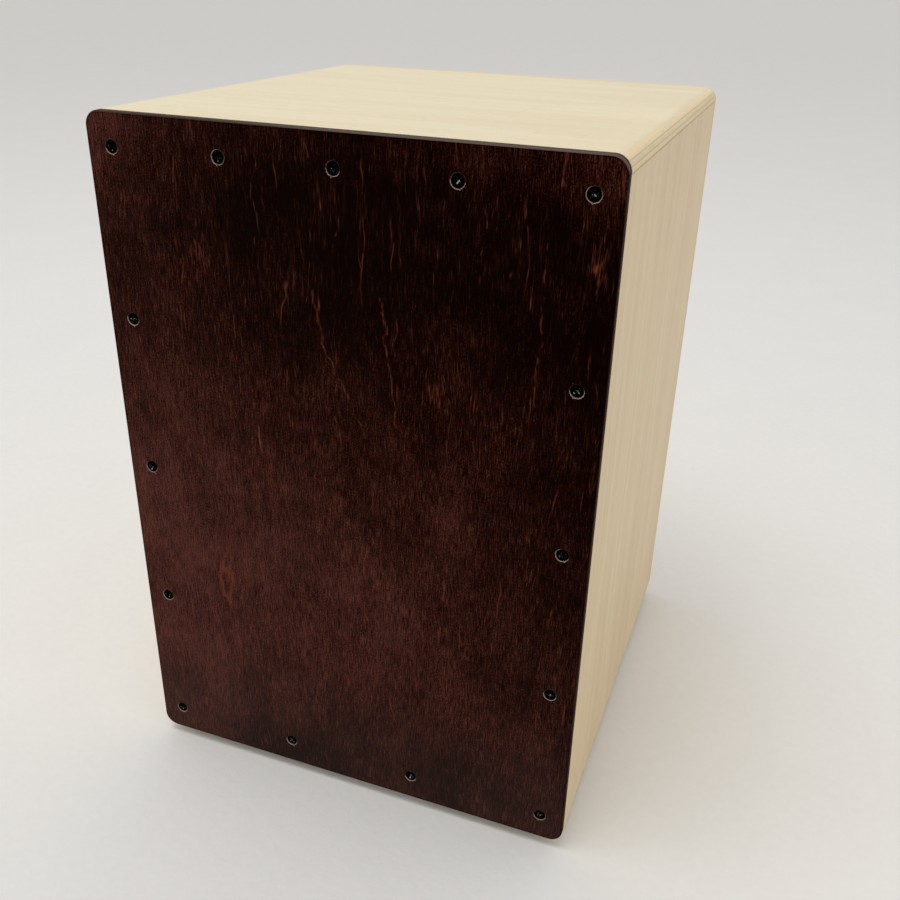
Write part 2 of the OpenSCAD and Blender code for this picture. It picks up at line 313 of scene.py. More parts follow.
def shown_at(point):
    """The image point at which a place shows."""
    chosen = settings().camera
    local = camera_matrix().inverted() @ Vector(point)
    scale = PHOTO_LONG * chosen.lens / chosen.sensor / -local.z
    return (PHOTO_W / 2 - chosen.shift_x * PHOTO_LONG + local.x * scale,
            PHOTO_H / 2 + chosen.shift_y * PHOTO_LONG - local.y * scale)


def finished_shape(pieces):
    """The finished surface of some pieces as one shape."""
    depsgraph = bpy.context.evaluated_depsgraph_get()
    joined = bmesh.new()
    for piece in pieces:
        shaped = piece.evaluated_get(depsgraph)
        joined.from_mesh(shaped.to_mesh())
        shaped.to_mesh_clear()
    return joined


def surface_of(pieces):
    """A search tree of the finished surface of some pieces."""
    joined = finished_shape(pieces)
    tree = BVHTree.FromBMesh(joined)
    joined.free()
    return tree


def place_on(surface, image_point):
    """The place on a surface that shows at an image point; a miss takes the place nearest the ray."""
    start, along = ray_through(*image_point)
    hit = surface.ray_cast(start, along)[0]
    if hit is not None:
        return hit
    steps = [start + along * (0.01 * step) for step in range(1, 200)]
    return min((surface.find_nearest(step) for step in steps), key=lambda found: found[3])[0]


def shows(point, surface):
    """Whether nothing lies between the camera and a place."""
    start = camera_matrix().translation
    along = point - start
    hit = surface.ray_cast(start, along.normalized())
    return hit[0] is None or hit[3] > along.length - 0.5 * MM


def edges_shown(surface):
    """The left, right, top and bottom of the object in the image, by its vertices that show."""
    shape = finished_shape(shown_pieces())
    points = [(shown_at(vertex.co), vertex.co.copy()) for vertex in shape.verts]
    shape.free()
    found = {}
    for side, axis, sign in (("left", 0, 1), ("right", 0, -1), ("top", 1, 1), ("bottom", 1, -1)):
        points.sort(key=lambda point: point[0][axis] * sign)
        found[side] = next(image[axis] for image, place in points if shows(place, surface))
    return found


# ---------------------------------------------------------------- shader nodes


def add_node(tree, kind, **choices):
    """Adds a node, laid out in rows of twelve."""
    made = tree.nodes.new(kind)
    for name, value in choices.items():
        setattr(made, name, value)
    row, column = divmod(len(tree.nodes), 12)
    made.location = (190 * column, -230 * row)
    return made


def feed(socket, value):
    """Links a wire to an input socket, or sets the socket's own value."""
    if isinstance(value, Wire):
        socket.id_data.links.new(value.socket, socket)
    elif socket.type == "RGBA" and len(value) == 3:
        socket.default_value = (*value, 1)
    else:
        socket.default_value = value


def wired(kind, values, outlet=0, **choices):
    """Adds a node to the tree of its wires, feeds its sockets by name or number and gives an output."""
    tree = next(value.socket.id_data for value in values.values() if isinstance(value, Wire))
    made = add_node(tree, kind, **choices)
    for key, value in values.items():
        feed(made.inputs[key], value)
    return Wire(made.outputs[outlet])


class Wire:
    """What a socket gives out. Arithmetic on wires adds the nodes that work it out."""

    def __init__(self, socket):
        self.socket = socket

    def apply(self, operation, *others):
        """A Math node, or a Vector Math node on a vector."""
        kind = "ShaderNodeVectorMath" if self.socket.type == "VECTOR" else "ShaderNodeMath"
        outlet = "Value" if operation in ("LENGTH", "DOT_PRODUCT") else 0
        return wired(kind, dict(enumerate((self, *others))), outlet, operation=operation)

    __add__ = partialmethod(apply, "ADD")
    __sub__ = partialmethod(apply, "SUBTRACT")
    __mul__ = partialmethod(apply, "MULTIPLY")
    __truediv__ = partialmethod(apply, "DIVIDE")
    __mod__ = partialmethod(apply, "MODULO")
    __pow__ = partialmethod(apply, "POWER")
    __abs__ = partialmethod(apply, "ABSOLUTE")
    at_least = partialmethod(apply, "MAXIMUM")
    at_most = partialmethod(apply, "MINIMUM")
    above = partialmethod(apply, "GREATER_THAN")
    floor = partialmethod(apply, "FLOOR")
    rounded = partialmethod(apply, "ROUND")
    fraction = partialmethod(apply, "FRACT")
    dot = partialmethod(apply, "DOT_PRODUCT")
    size = partialmethod(apply, "LENGTH")

    def __rsub__(self, first):
        return wired("ShaderNodeMath", {0: first, 1: self}, operation="SUBTRACT")

    def clamped(self):
        return self.at_least(0.0).at_most(1.0)

    def parts(self):
        """The x, y and z of a vector."""
        made = wired("ShaderNodeSeparateXYZ", {0: self}).socket.node
        return [Wire(socket) for socket in made.outputs]

    def band(self, start, end, low=0.0, high=1.0):
        """Runs smoothly from low, where this is at start, to high, where it is at end."""
        return wired("ShaderNodeMapRange", {"Value": self, "From Min": start, "From Max": end, "To Min": low,
                                            "To Max": high}, interpolation_type="SMOOTHSTEP")

    def noise(self, along=1.0, across=1.0, detail=2.0, roughness=0.5, distortion=0.0):
        """Noise in lumps of this length along the grain and this width across it."""
        return wired("ShaderNodeTexNoise", {"Vector": self / (along, across, across), "Scale": 1.0,
                                            "Detail": detail, "Roughness": roughness,
                                            "Distortion": distortion}, "Fac")

    def swayed(self, along, across, detail, reach):
        """This place moved by noise from side to side across the grain."""
        return self + join(0.0, (self.noise(along, across, detail) - 0.5) * reach, 0.0)


def join(x, y, z):
    """A vector of three values."""
    return wired("ShaderNodeCombineXYZ", {0: x, 1: y, 2: z})


def mix(factor, first, second):
    """A number that goes from first to second as the factor goes from 0 to 1."""
    return wired("ShaderNodeMix", {0: factor, 2: first, 3: second}, data_type="FLOAT")


def tint(factor, first, second, blend="MIX"):
    """The first colour with a share of the second laid over it."""
    return wired("ShaderNodeMix", {0: factor, 6: first, 7: second}, 2, data_type="RGBA", blend_type=blend)


FLOAT = "NodeSocketFloat"
VECTOR = "NodeSocketVector"
COLOUR = "NodeSocketColor"
LOOK = {"color": COLOUR, "roughness": FLOAT, "height": FLOAT}


def shared_group(build):
    """Makes a function on wires a node group of its name, built once and put in place by each call.

    Its annotations are the group's sockets: an input for each argument, and the outputs it returns.
    """
    inputs = dict(build.__annotations__)
    outputs = inputs.pop("return")
    name = build.__name__.replace("_", " ")
    Outputs = namedtuple(build.__name__, outputs)

    def title(argument):
        return argument.replace("_", " ").capitalize()

    def make_tree():
        tree = bpy.data.node_groups.new(name, "ShaderNodeTree")
        for way, sockets in (("INPUT", inputs), ("OUTPUT", outputs)):
            for socket, kind in sockets.items():
                tree.interface.new_socket(name=title(socket), in_out=way, socket_type=kind)
        given = add_node(tree, "NodeGroupInput").outputs
        results = build(*(Wire(given[title(argument)]) for argument in inputs))
        wanted = add_node(tree, "NodeGroupOutput").inputs
        for output, result in zip(outputs, results):
            feed(wanted[title(output)], result)
        return tree

    def put(**values):
        tree = bpy.data.node_groups.get(name) or make_tree()
        sockets = {title(argument): value for argument, value in values.items()}
        made = wired("ShaderNodeGroup", sockets, node_tree=tree).socket.node
        return Outputs(*(Wire(made.outputs[title(output)]) for output in outputs))
    return put


@shared_group
def fibres(position: VECTOR, length: FLOAT, width: FLOAT,
           seed: FLOAT) -> {"pale": FLOAT, "dark": FLOAT, "streak": FLOAT}:
    """Short pale and dark fibres and longer streaks that run along the grain."""
    near = position / join(length, width, width) + join(seed, 0.0, seed)
    fine = near.noise(detail=1.5, roughness=0.6)
    streak = (near * (0.06, 0.22, 0.22)).noise(detail=3.5, roughness=0.62, distortion=0.15)
    return fine.band(0.50, 0.70), fine.band(0.50, 0.30), streak.band(0.25, 0.75)


@shared_group
def figure(position: VECTOR, length: FLOAT, width: FLOAT, lines: FLOAT, jag: FLOAT,
           seed: FLOAT) -> {"cloud": FLOAT, "vein": FLOAT}:
    """Broad clouds in the wood and thin wavy veins that follow them."""
    scaled = position / join(length, width, width) + join(seed, seed, 0.0)
    cloud = scaled.noise(detail=1.2, roughness=0.45, distortion=0.35)
    turns = cloud * lines + position.noise(3.2, 0.8, detail=3.0) * jag
    ridge = abs(turns.fraction() - 0.5)
    patch = (scaled * (2.3, 1.4, 1.4)).noise()
    return cloud.band(0.25, 0.75), ridge.band(0.455, 0.5) * patch.band(0.52, 0.62)


@shared_group
def birch_plywood(position: VECTOR, normal: VECTOR, face: FLOAT, core: FLOAT, veneer: COLOUR, cross: COLOUR,
                  glue: COLOUR, banding: FLOAT, rough: FLOAT, seed: FLOAT) -> LOOK:
    """Solid birch plywood: plies with crossed grain, glue lines, end grain, fibres and figure."""
    along, across, deep = position.parts()
    face_along, face_across, _ = normal.parts()
    deep = deep.at_least(0.0)
    layers = (deep - face) / core + 1.0
    layer = layers.floor()
    crossed = layer % 2.0
    grain = join(mix(crossed, along, across), mix(crossed, across, along), deep + layer * 37.0)
    fine = fibres(position=grain, length=7.0, width=0.34, seed=seed)
    broad = figure(position=grain, length=260.0, width=34.0, lines=9.0, jag=0.2, seed=seed)
    end = abs(mix(crossed, face_along, face_across)).band(0.55, 0.95)
    offset = abs(layers - layers.rounded()) * core
    seam = offset.band(0.30, 0.08) * deep.band(0.9, 1.4, 0.1, 1.0) * deep.band(0.35, 0.45)
    bands = (grain / (260.0, 6.5, 6.5) + join(seed, seed, 0.0)).noise(detail=3.5, roughness=0.6)
    ticks = (grain / (8.0, 0.8, 0.8) + join(seed, 0.0, seed)).noise(detail=1.0)
    wood = tint(crossed.at_least(deep.above(face) * 0.6), veneer, cross)
    for share, shade in (
        (bands.band(0.35, 0.65) * banding, (0.64, 0.47, 0.26)),
        (fine.dark * 0.11, (0.42, 0.27, 0.13)),
        (fine.streak.band(0.45, 1.0, 0.0, 0.10), (0.55, 0.36, 0.18)),
        (broad.cloud.band(0.3, 0.9, 0.0, 0.11), (0.62, 0.44, 0.25)),
        (broad.vein * 0.07, (0.45, 0.27, 0.12)),
        (ticks.band(0.67, 0.75, 0.0, 0.4), (0.42, 0.29, 0.20)),
        (end * 0.12, (0.40, 0.28, 0.16)),
    ):
        wood = tint(share, wood, shade, "MULTIPLY")
    roughness = fine.streak * 0.09 + rough + end * 0.12
    return tint(seam * 0.42, wood, glue), roughness, fine.streak * 0.5 - fine.dark - seam * 1.5


@shared_group
def stained_veneer(position: VECTOR, tone: FLOAT, deep: COLOUR, dark: COLOUR, middle: COLOUR, pale: COLOUR,
                   flame: COLOUR) -> {**LOOK, "strands": FLOAT}:
    """Birch veneer under a dark, uneven stain."""
    place = position.swayed(60.0, 34.0, 1.0, 6.0)
    fine = fibres(position=place, length=6.0, width=0.30, seed=3.0)
    coarse = fibres(position=place, length=9.0, width=0.9, seed=11.0)
    broad = figure(position=place, length=120.0, width=40.0, lines=6.0, jag=0.55, seed=5.0)
    blot = place.noise(40.0, 34.0, detail=2.5, roughness=0.55)
    pores = place.noise(0.9, 0.4, detail=1.5)
    mottle = place.noise(11.0, 7.0)
    lick = place.swayed(15.0, 12.0, 1.0, 3.5).noise(26.0, 2.0, detail=3.0, roughness=0.55)
    bunch = place.noise(38.0, 20.0, detail=1.5)
    strand = fine.pale - fine.dark
    thread = coarse.pale - coarse.dark
    tone = tone + blot.band(0.30, 0.70, -0.08, 0.08) + broad.cloud.band(0.1, 0.9, -0.04, 0.04)
    tone = tone + mottle.band(0.3, 0.7, -0.04, 0.04)
    tone = tone + strand * tone.band(0.0, 0.80, 0.35, 0.26) + thread * 0.10
    tone = tone + pores.band(0.3, 0.7, -0.21, 0.21) + coarse.streak.band(0.1, 0.9, -0.035, 0.035)
    stops = (0.10, deep), (0.40, dark), (0.62, middle), (0.98, pale)
    shade = deep
    for (start, _), (end, paler) in zip(stops, stops[1:]):
        shade = tint(((tone - start) / (end - start)).clamped(), shade, paler)
    strands = (strand * 0.6 + thread * 0.4).band(-0.25, 0.65)
    soft = lick.band(0.42, 0.66, 0.0, 0.16) * blot.band(0.42, 0.60)
    stroke = lick.band(0.60, 0.71) * bunch.band(0.42, 0.60)
    patch = stroke.at_least(broad.vein * 0.2) * mix(strands, 0.1, 0.85)
    line = place.noise(34.0, 18.0, detail=3.0) + place.parts()[1] / 13.0
    line = abs(line.fraction() - 0.5).band(0.035, 0.005, 0.0, 0.45) * mottle.band(0.48, 0.60)
    patch = patch.at_least(soft * strands).at_least(line * bunch.band(0.47, 0.56))
    roughness = fine.dark * 0.14 + 0.42 + blot.band(0.3, 0.7, -0.05, 0.05)
    return tint(patch, shade, flame), roughness, thread * 0.5 + strand, strands


@shared_group
def speckle(position: VECTOR, grain: FLOAT, first: COLOUR, second: COLOUR, rough: FLOAT,
            spread: FLOAT) -> LOOK:
    """Fine mottling of metal, rubber and the floor between two colours."""
    scaled = position / join(grain, grain, grain)
    fleck = scaled.noise(detail=4.0, roughness=0.6).band(0.3, 0.7)
    cloud = (scaled * (0.08, 0.08, 0.08)).noise()
    share = fleck * 0.6 + cloud.band(0.3, 0.7, 0.0, 0.4)
    return tint(share, first, second), share * spread + rough, fleck


# ---------------------------------------------------------------- materials


def new_material(name):
    """Starts a material: the piece's own coordinates in millimetres and its normal."""
    made = bpy.data.materials.new(name)
    made.use_nodes = True
    made.node_tree.nodes.clear()
    source = add_node(made.node_tree, "ShaderNodeTexCoord").outputs
    return Wire(source["Object"]) * IN_MM, Wire(source["Normal"])


def panel_axes(name, outer, grain, inward):
    """Starts a panel's material: its coordinates from a point on its outer face, and its normal."""
    place, normal = new_material(name)
    turn = Matrix((grain, inward.cross(grain), inward))
    origin = -(turn @ (Vector(outer) / MM))
    return (wired("ShaderNodeMapping", {"Vector": place, "Rotation": turn.to_euler(), "Location": origin},
                  vector_type="POINT"),
            wired("ShaderNodeMapping", {"Vector": normal, "Rotation": turn.to_euler()}, vector_type="VECTOR"))


def finish_material(name, shade, roughness, height, bump, **uniform):
    """Ends a material in a Principled BSDF with a bump of this depth in metres. The rest names sockets."""
    relief = wired("ShaderNodeBump", {"Height": height, "Distance": bump, "Strength": 1.0})
    own = {socket.replace("_", " "): value for socket, value in uniform.items()}
    shader = wired("ShaderNodeBsdfPrincipled", {"Base Color": shade, "Roughness": roughness,
                                                "Normal": relief, **own})
    feed(add_node(shader.socket.id_data, "ShaderNodeOutputMaterial").inputs["Surface"], shader)
    return bpy.data.materials[name]


def plywood_material(name, outer, grain, inward, thickness, plies, veneer, banding, seed, rough=0.42):
    """Birch plywood for one panel."""
    birch = settings().birch
    place, facing = panel_axes(name, outer, grain, inward)
    core = (thickness - 2 * birch.face_ply) / (plies - 2)
    wood = birch_plywood(position=place, normal=facing, face=birch.face_ply / MM, core=core / MM,
                         veneer=veneer, cross=birch.cross, glue=birch.glue, banding=banding, rough=rough,
                         seed=seed)
    return finish_material(name, *wood, 0.00002)


def sheet_material(node, seed, rough):
    """The plywood of a thin upright sheet, measured from its back."""
    birch = settings().birch
    sheet = box_of(node)
    back = front_middle(sheet) + Y_AXIS * sheet.size.y
    return plywood_material(node + "_birch", back, Z_AXIS, -Y_AXIS, sheet.size.y, birch.sheet_plies,
                            birch.side, birch.figure, seed, rough)


# Where the stain lies darker or paler than round it: its centre up and to the right, as shares of half the
# plate, how far it reaches, and how much darker it is.
STAIN_PATCHES = (
    ((0.75, 0.02), (0.35, 0.40), 0.10),
    ((0.28, -0.46), (0.45, 0.42), -0.10),
    ((0.18, 0.52), (0.32, 0.30), -0.12),
    ((-0.30, -0.05), (0.28, 0.22), -0.11),
    ((-0.10, 0.22), (0.26, 0.24), 0.12),
    ((-0.97, -0.34), (0.22, 0.46), 0.30),
    ((0.55, -1.0), (0.45, 0.40), 0.10),
    ((-0.82, 0.15), (0.24, 0.75), 0.10),
)


# Half the length and half the width of each mark in millimetres, how far out its ring lies, with 0 for a
# filled flame, and its strength.
MARK_SIZES = {
    "long_knot": (11.5, 3.9, 0.8, 0.9),
    "wide_flame": (20.0, 14.0, 0.0, 0.75),
    "tall_flame": (22.0, 2.8, 0.0, 1.2),
    "middle_flame": (17.0, 17.0, 0.0, 0.75),
    "right_flame": (26.0, 9.0, 0.0, 0.9),
    "corner_flame": (21.0, 3.6, 0.0, 1.1),
}


def stained_tone(place):
    """How thin the stain lies: less in a broad cloud at the top and along the right edge. This broad field is
    partly painted: painted reflection where the plate is paler, painted shade in the dark cloud and towards
    the right, laid over the uneven stain of the listed patches.
    """
    stain = settings().stain
    half = box_of("front_plate").size / 2 / MM
    along, across, _ = place.parts()
    up = along / half.z
    right = across / half.x
    # Painted shade: darker towards the right and along the right edge, paler in the top right corner.
    edge = right.band(0.35, 1.0, 0.0, stain.right_edge) * up.band(-0.9, 0.1)
    corner = right.band(0.1, 1.0) * up.band(0.75, 0.97, 0.0, 0.28)
    tone = stain.thinnest - right * stain.right - (edge - corner)
    tone = tone + up.band(0.80, 1.0, 0.0, 0.2) - up.band(-0.6, -1.0, 0.0, 0.13)
    spot = join(up, right, 0.0)
    # Painted shade: the dark cloud at the top; the listed patches after it are uneven stain.
    for centre, reach, darker in (((0.9, -0.05), (1.22, 1.8), stain.cloud), *STAIN_PATCHES):
        away = ((spot - (*centre, 0.0)) / (*reach, 1.0)).size()
        tone = tone - away.band(1.0, 0.0, 0.0, darker)
    return tone


def stained_wood(place, tone):
    """The stained veneer in the stain's own colours."""
    stain = settings().stain
    shades = {name: getattr(stain, name) for name in ("deep", "dark", "middle", "pale", "flame")}
    return stained_veneer(position=place, tone=tone, **shades)


def line_mask(place, start, end, half_width):
    """A thin, broken line of grain that wavers between two places."""
    run = end - start
    local = place.swayed(6.0, 9.0, 2.5, 7.0) - start
    share = (local.dot(run) / run.length_squared).clamped()
    gap = (local - join(share, share, share) * run).size()
    return gap.band(half_width, 0.1 * half_width) * place.noise(7.0, 2.0).band(0.38, 0.58, 0.15, 1.0)


def knot_mask(place, centre, half_length, half_width, ring):
    """A drawn-out ring of grain round a pin knot or at the end of a flame."""
    local = (place.swayed(17.0, 14.0, 2.0, 5.0) - centre) / (half_length, half_width, half_width)
    reach = local.size() + place.noise(9.0, 3.0).band(0.3, 0.7, -0.22, 0.22)
    return abs(reach - ring).band(0.42, 0.05)


def edge_distance(place, half, corner):
    """How far a point of the plate lies inside its rounded outline."""
    along, across, _ = place.parts()
    past_end = abs(along) - half.z + corner
    past_side = abs(across) - half.x + corner
    outside = join(past_end.at_least(0.0), past_side.at_least(0.0), 0.0).size()
    return corner - outside - past_end.at_least(past_side).at_most(0.0)


def plate_material(marks, lines):
    """The stained face of the front plate, with the marks that show in its veneer, and the painted reflection
    and shade of its tone.
    """
    name = "stained_birch_face"
    stain = settings().stain
    plate = box_of("front_plate")
    half = plate.size / 2 / MM
    middle = front_middle(plate)

    def on_plate(spot):
        return Vector((spot.z - middle.z, spot.x - middle.x, 0.0)) / MM

    place, _ = panel_axes(name, middle, Z_AXIS, Y_AXIS)
    rim = edge_distance(place, half, rounding_at("front_plate", plate.high.z) / MM)
    wood = stained_wood(place, stained_tone(place) - rim.band(1.5, 0.8, 0.0, 0.25))
    shade = wood.color
    for spot, half_length, half_width, ring, strength in marks:
        mask = knot_mask(place, on_plate(spot), half_length, half_width, ring)
        broken = mix(wood.strands, 0.4, 1.0) if ring else wood.strands
        shade = tint(mask * broken * strength, shade, stain.flame)
    for start, end, half_width in lines:
        mask = line_mask(place, on_plate(start), on_plate(end), half_width)
        shade = tint(mask * mix(wood.strands, 0.25, 0.8), shade, stain.flame)
    # Painted reflection: the plate turns greyer towards the bottom, where it mirrors the pale floor.
    low_down = place.parts()[0] / half.z
    shade = tint(low_down.band(-0.5, -0.95, 0.0, 0.11), shade, stain.dust)
    return finish_material(name, shade, wood.roughness, wood.height, 0.00002, Specular_IOR_Level=0.045,
                           Specular_Tint=(0.5, 0.2, 0.16, 1))


def rim_material():
    """The plate's rim and edge, where the stain dried on the ends of the plies, with a painted highlight:
    paler where the rim faces up, palest in a line along the front of the upper edge.
    """
    name = "stained_birch_rim"
    stain = settings().stain
    place, facing = panel_axes(name, front_middle(box_of("front_plate")), Z_AXIS, Y_AXIS)
    wood = stained_wood(place, stained_tone(place))
    ends = fibres(position=place * (1.0, 1.0, 3.0), length=1.6, width=0.5, seed=31.0)
    _, right, deep = place.parts()
    # Painted highlight: where the rim faces up it takes the paler colours, and a paler line runs along the
    # front of the upper edge.
    lit_from_above = facing.parts()[0].band(-0.05, 0.25)
    line = deep.band(1.5, 0.8) * right.band(-80.0, 20.0)
    shade = tint(lit_from_above, stain.edge, tint(line, stain.rubbed, stain.worn))
    shade = tint(ends.dark * 0.3, shade, stain.dark)
    shade = tint(deep.band(0.05, 0.3).at_least(lit_from_above), wood.color, shade)
    return finish_material(name, shade, ends.pale * 0.12 + 0.5, wood.height - ends.dark, 0.00003,
                           Specular_IOR_Level=0.02, Specular_Tint=(1.0, 0.7, 0.66, 1))


def mottled(place, shade, darker, grain, rough, spread):
    """The speckle between a shade and this share of it."""
    return speckle(position=place, grain=grain, first=shade, second=Vector(shade) * darker, rough=rough,
                   spread=spread)


def speckled_material(name, shade, darker, grain, rough, spread, bump, **uniform):
    """Metal, rubber or floor: a fine mottle between a shade and this share of it."""
    place, _ = new_material(name)
    return finish_material(name, *mottled(place, shade, darker, grain, rough, spread), bump, **uniform)


def raw_wood_material():
    """Torn bare wood in the screw holes of the plate, darkened by random patches of stain and, as painted
    shade, on the walls that face down.
    """
    name = "raw_birch"
    stain = settings().stain
    place, normal = new_material(name)
    wood = mottled(place, stain.raw, darker=0.5, grain=0.5, rough=0.6, spread=0.2)
    # Painted shade: walls that face down get more of the dark colour, along with random patches of stain.
    run = place.noise(4.0, 4.0) + normal.parts()[2] * -0.3
    shade = tint(run.band(0.48, 0.60), wood.color, stain.dark)
    return finish_material(name, shade, wood.roughness, wood.height, 0.00008)


def pine_material(name, grain, seed):
    """Plain pine strip with growth rings."""
    place, _ = panel_axes(name, (0, 0, 0), grain, X_AXIS if grain.z else Z_AXIS)
    fine = fibres(position=place, length=9.0, width=0.35, seed=seed)
    pith = ((place + (0.0, 23.0 + seed, 31.0 - seed)) * (0.0, 1.0, 1.0)).size()
    rings = pith * 0.55 + place.noise(90.0, 20.0, detail=1.5) * 2.2
    late = rings.fraction() ** 3.0
    wood = tint(late, screen(233, 210, 163), screen(204, 164, 107))
    wood = tint(fine.dark * 0.18, wood, (0.4, 0.25, 0.12), "MULTIPLY")
    wood = tint(fine.streak * 0.14, wood, (0.6, 0.42, 0.24), "MULTIPLY")
    return finish_material(name, wood, 0.66 - late * 0.12, late - fine.dark, 0.00004)


def worn_material(name):
    """Blackened steel rubbed bare in random places, and most of all on the recess walls that look up: a
    painted glint, placed where the light from above falls.
    """
    chosen = settings().screws
    place, normal = new_material(name)
    steel = mottled(place, chosen.black, darker=0.45, grain=0.35, rough=0.32, spread=0.22)
    # Painted glint: walls that face up get more bare, shining steel, on top of the random wear.
    lit_from_above = normal.parts()[2].band(-0.2, 0.5, -0.12, 0.05)
    rubbed = (place.noise(1.1, 1.1, detail=3.0) + lit_from_above).band(0.50, 0.58)
    return finish_material(name, tint(rubbed, steel.color, chosen.worn), mix(rubbed, steel.roughness, 0.28),
                           steel.height, 0.00001, Metallic=rubbed, Specular_IOR_Level=0.006)


def screw_materials():
    """Blackened steel and the bare steel of the crosses, partly a painted glint, made once for all the
    screws.
    """
    made = bpy.data.materials
    black = made.get("black_steel") or speckled_material(
        "black_steel", settings().screws.black, 0.4, 0.35, 0.34, 0.2, 0.00001, Specular_IOR_Level=0.006)
    return [black, made.get("rubbed_steel") or worn_material("rubbed_steel")]


# ---------------------------------------------------------------- what the CAD model says


Box = namedtuple("Box", "low high size middle")


def box_between(low, high):
    """The box between two corners."""
    return Box(low, high, high - low, (low + high) / 2)


def box_of(node):
    """The box of a CAD node."""
    return box_between(*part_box(node))


def box_around(places):
    """The box round some places."""
    return box_between(Vector(map(min, zip(*places))), Vector(map(max, zip(*places))))


def front_middle(box):
    """The middle of a box's front."""
    return Vector((box.middle.x, box.low.y, box.middle.z))


def spots(node):
    """The places of a CAD node's vertices."""
    return [vertex.co for vertex in NODES[node].data.vertices]


def rounding_at(node, level):
    """How far short of a CAD node's right side its flat face at this height ends."""
    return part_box(node)[1].x - max(spot.x for spot in spots(node) if abs(spot.z - level) < FLUSH)


def cad_shape(node):
    """A CAD node's own shape with its seams closed."""
    shape = bmesh.new()
    shape.from_mesh(NODES[node].data)
    weld(shape, shape.verts)
    return shape


def islands(node):
    """The box of each separate solid in a CAD node, left to right, then up."""
    merged = cad_shape(node)
    waiting = set(merged.verts)
    found = []
    while waiting:
        group = [waiting.pop()]
        for vertex in group:
            linked = {edge.other_vert(vertex) for edge in vertex.link_edges} & waiting
            waiting -= linked
            group.extend(linked)
        found.append(box_around([vertex.co for vertex in group]))
    merged.free()
    return sorted(found, key=lambda box: [round(place, 4) for place in box.low.xzy])


# ---------------------------------------------------------------- shapes


def only(items, kind):
    """The items of one kind: vertices, edges or faces."""
    return [item for item in items if isinstance(item, kind)]


def weld(shape, vertices):
    """Merges vertices that touch."""
    bmesh.ops.remove_doubles(shape, verts=vertices, dist=TOUCHING)


def move(shape, step, vertices=None):
    """Moves some vertices, or the whole shape."""
    bmesh.ops.translate(shape, vec=step, verts=shape.verts if vertices is None else vertices)


def face_outward(shape):
    """Turns every face to look out of the shape."""
    bmesh.ops.recalc_face_normals(shape, faces=shape.faces[:])


def paint(items, look):
    """Gives the faces among some items a material."""
    for face in only(items, BMFace):
        face.material_index = look


def ends_of(edges):
    """The vertices at the ends of some edges."""
    return {vertex for edge in edges for vertex in edge.verts}


def edges_among(vertices):
    """The edges with both ends among some vertices."""
    own = set(vertices)
    linked = {edge for vertex in own for edge in vertex.link_edges}
    return [edge for edge in linked if own.issuperset(edge.verts)]


def edges_at(shape, axis, level):
    """The edges that lie flat at this level of an axis."""
    return [edge for edge in shape.edges
            if all(abs(vertex.co[axis] - level) < TOUCHING for vertex in edge.verts)]


def block(box):
    """A solid block that fills a box."""
    shape = bmesh.new()
    bmesh.ops.create_cube(shape, size=1.0)
    bmesh.ops.scale(shape, vec=box.size, verts=shape.verts)
    move(shape, box.middle)
    return shape


def round_edges(shape, edges, radius, steps):
    """Rounds the given edges."""
    bmesh.ops.bevel(shape, geom=edges, offset=radius, offset_type="OFFSET", segments=steps,
                    profile=0.5, affect="EDGES", material=-1, clamp_overlap=False)


def break_edges(shape, width, shortest=2 * MM):
    """Sands a narrow round on each sharp edge that is longer than shortest."""
    shape.normal_update()
    sharp = [edge for edge in shape.edges
             if edge.is_manifold and edge.calc_face_angle() > math.radians(30)
             and edge.calc_length() > shortest]
    round_edges(shape, sharp, width, 2)


def standing_sheet(size, corner, rim, rim_steps, back_break):
    """A sheet with round corners in the XZ plane, its front at y 0 and its rim rounded."""
    shape = bmesh.new()
    bmesh.ops.create_grid(shape, x_segments=1, y_segments=1, size=0.5,
                          matrix=Matrix.Rotation(math.pi / 2, 4, "X"))
    bmesh.ops.scale(shape, vec=(size.x, 1, size.z), verts=shape.verts)
    bmesh.ops.bevel(shape, geom=shape.verts[:], offset=corner, offset_type="OFFSET", segments=12,
                    profile=0.5, affect="VERTICES", material=-1)
    grown = bmesh.ops.extrude_face_region(shape, geom=shape.faces[:])
    move(shape, (0, size.y, 0), only(grown["geom"], BMVert))
    face_outward(shape)
    for depth, radius, steps in ((0, rim, rim_steps), (size.y, back_break, 2)):
        round_edges(shape, edges_at(shape, 1, depth), radius, steps)
    return shape


def open_face(shape, direction):
    """Takes out the one big flat face that looks along direction, and gives its outline."""
    shape.normal_update()
    face = max((f for f in shape.faces if f.normal.dot(direction) > 0.99), key=lambda f: f.calc_area())
    outline = list(face.edges)
    bmesh.ops.delete(shape, geom=[face], context="FACES_ONLY")
    return outline


def fill_face(shape, outline, rings, direction, look):
    """Closes a flat face between its outline and the rings of its holes."""
    made = bmesh.ops.triangle_fill(shape, use_beauty=True, use_dissolve=False, normal=direction,
                                   edges=outline + [edge for ring in rings for edge in ring])
    paint(made["geom"], look)


def ring_at(shape, centre, radius, steps):
    """A circle of edges that stands in the XZ plane."""
    made = bmesh.ops.create_circle(shape, cap_ends=False, segments=steps, radius=radius,
                                   matrix=Matrix.Translation(centre) @ Matrix.Rotation(math.pi / 2, 4, "X"))
    return edges_among(made["verts"])


def draw_in(shape, ring, scale, step, look, centre=Vector()):
    """Extends a hole from a ring: the new ring is scaled about the centre and moved by a step."""
    made = bmesh.ops.extrude_edge_only(shape, edges=ring)["geom"]
    paint(made, look)
    vertices = only(made, BMVert)
    bmesh.ops.scale(shape, vec=scale, verts=vertices, space=Matrix.Translation(-centre))
    move(shape, step, vertices)
    return edges_among(vertices)


